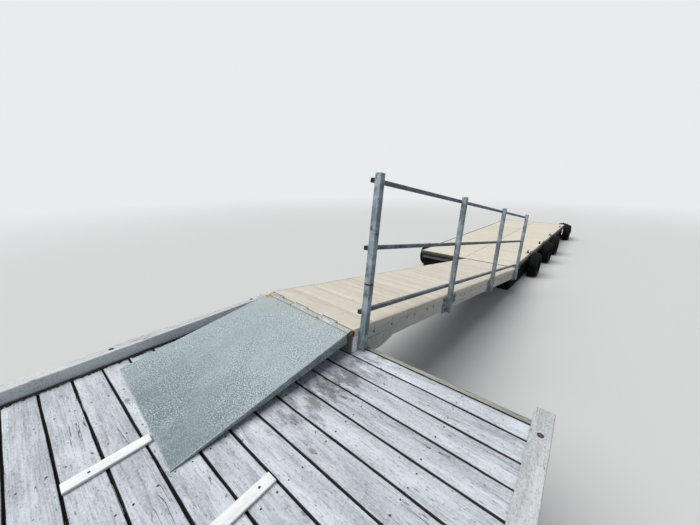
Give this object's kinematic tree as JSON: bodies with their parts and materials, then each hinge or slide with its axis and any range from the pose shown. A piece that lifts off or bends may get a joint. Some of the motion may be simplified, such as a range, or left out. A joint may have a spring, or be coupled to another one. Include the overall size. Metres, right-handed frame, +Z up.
{
  "type": "floating jetty with a hinged gangway",
  "caption": "Timber landing with a hinged ramp plate, a sloping gangway with a handrail, and a decked float hung with tyre fenders.",
  "frame": {"origin": "centre of the foot of the landing's middle pile nearest the water", "axes": "+X across the gangway towards the handrail, +Y along the gangway towards the float, +Z up"},
  "size_m": [3.7027, 14.737, 2.3507],
  "materials": {
    "grey_timber": "weathered, dry and rough",
    "pale_timber": "sun-bleached, lightly weathered",
    "ramp_coating": "gritty anti-slip coating, scuffed",
    "rusty_steel": "rusted",
    "galvanised_steel": "dull galvanised, spangled",
    "black_plastic": "moulded, matt",
    "old_rubber": "worn and faded",
    "rope": "laid rope, dirty"
  },
  "bodies": {
    "landing": {"curb_left": "grey_timber", "curb_right": "grey_timber", "deck_battens": "pale_timber", "landing_back_rim": "grey_timber", "landing_beams": "grey_timber", "landing_deck_boards": "grey_timber", "landing_fascia": "grey_timber", "landing_joists": "grey_timber", "landing_left_brace": "grey_timber", "landing_left_rim": "grey_timber", "landing_piles": "grey_timber", "landing_right_brace": "grey_timber", "landing_right_rim": "grey_timber", "pivot_lugs": "galvanised_steel"},
    "gangway": {"float_link_ears": "galvanised_steel", "gangway_blocking": "pale_timber", "gangway_far_header": "pale_timber", "gangway_near_header": "pale_timber", "gangway_pivots": "galvanised_steel", "gangway_planks": "pale_timber", "gangway_stringers": "pale_timber", "handrail_low_rail": "galvanised_steel", "handrail_middle_rail": "galvanised_steel", "handrail_post_1": "galvanised_steel", "handrail_post_2": "galvanised_steel", "handrail_post_3": "galvanised_steel", "handrail_post_4": "galvanised_steel", "handrail_top_rail": "galvanised_steel", "hinge_leaves": "rusty_steel", "ramp_hinge_pin": "rusty_steel"},
    "ramp": {"ramp_plate": "ramp_coating", "ramp_ribs": "ramp_coating"},
    "float": {"cleats": "galvanised_steel", "float_back_rim": "pale_timber", "float_billets": "black_plastic", "float_front_rim": "pale_timber", "float_joists": "pale_timber", "float_left_planks": "pale_timber", "float_left_rim": "pale_timber", "float_link_tongues": "galvanised_steel", "float_right_planks": "pale_timber", "float_right_rim": "pale_timber", "tyre_end": "old_rubber", "tyre_left": "old_rubber", "tyre_ropes": "rope", "tyres_right": "old_rubber"}
  },
  "joints": [
    {"name": "gangway_tilt", "type": "hinge", "parent": "landing", "child": "gangway", "pos_m": [-0.48435, 0.46519, 1.018], "axis": [-1, 0, 0], "range_deg": [0, 5]},
    {"name": "float_level", "type": "hinge", "parent": "gangway", "child": "float", "pos_m": [-0.48435, 5.27282, 0.51597], "axis": [1, 0, 0], "range_deg": [0, 5]},
    {"name": "ramp_lift", "type": "hinge", "parent": "gangway", "child": "ramp", "pos_m": [-0.48435, 0.25719, 1.251], "axis": [-1, 0, 0], "range_deg": [0, 90]}
  ],
  "couplings": [
    {"joint": "float_level", "follows": "gangway_tilt", "ratio": 1}
  ]
}
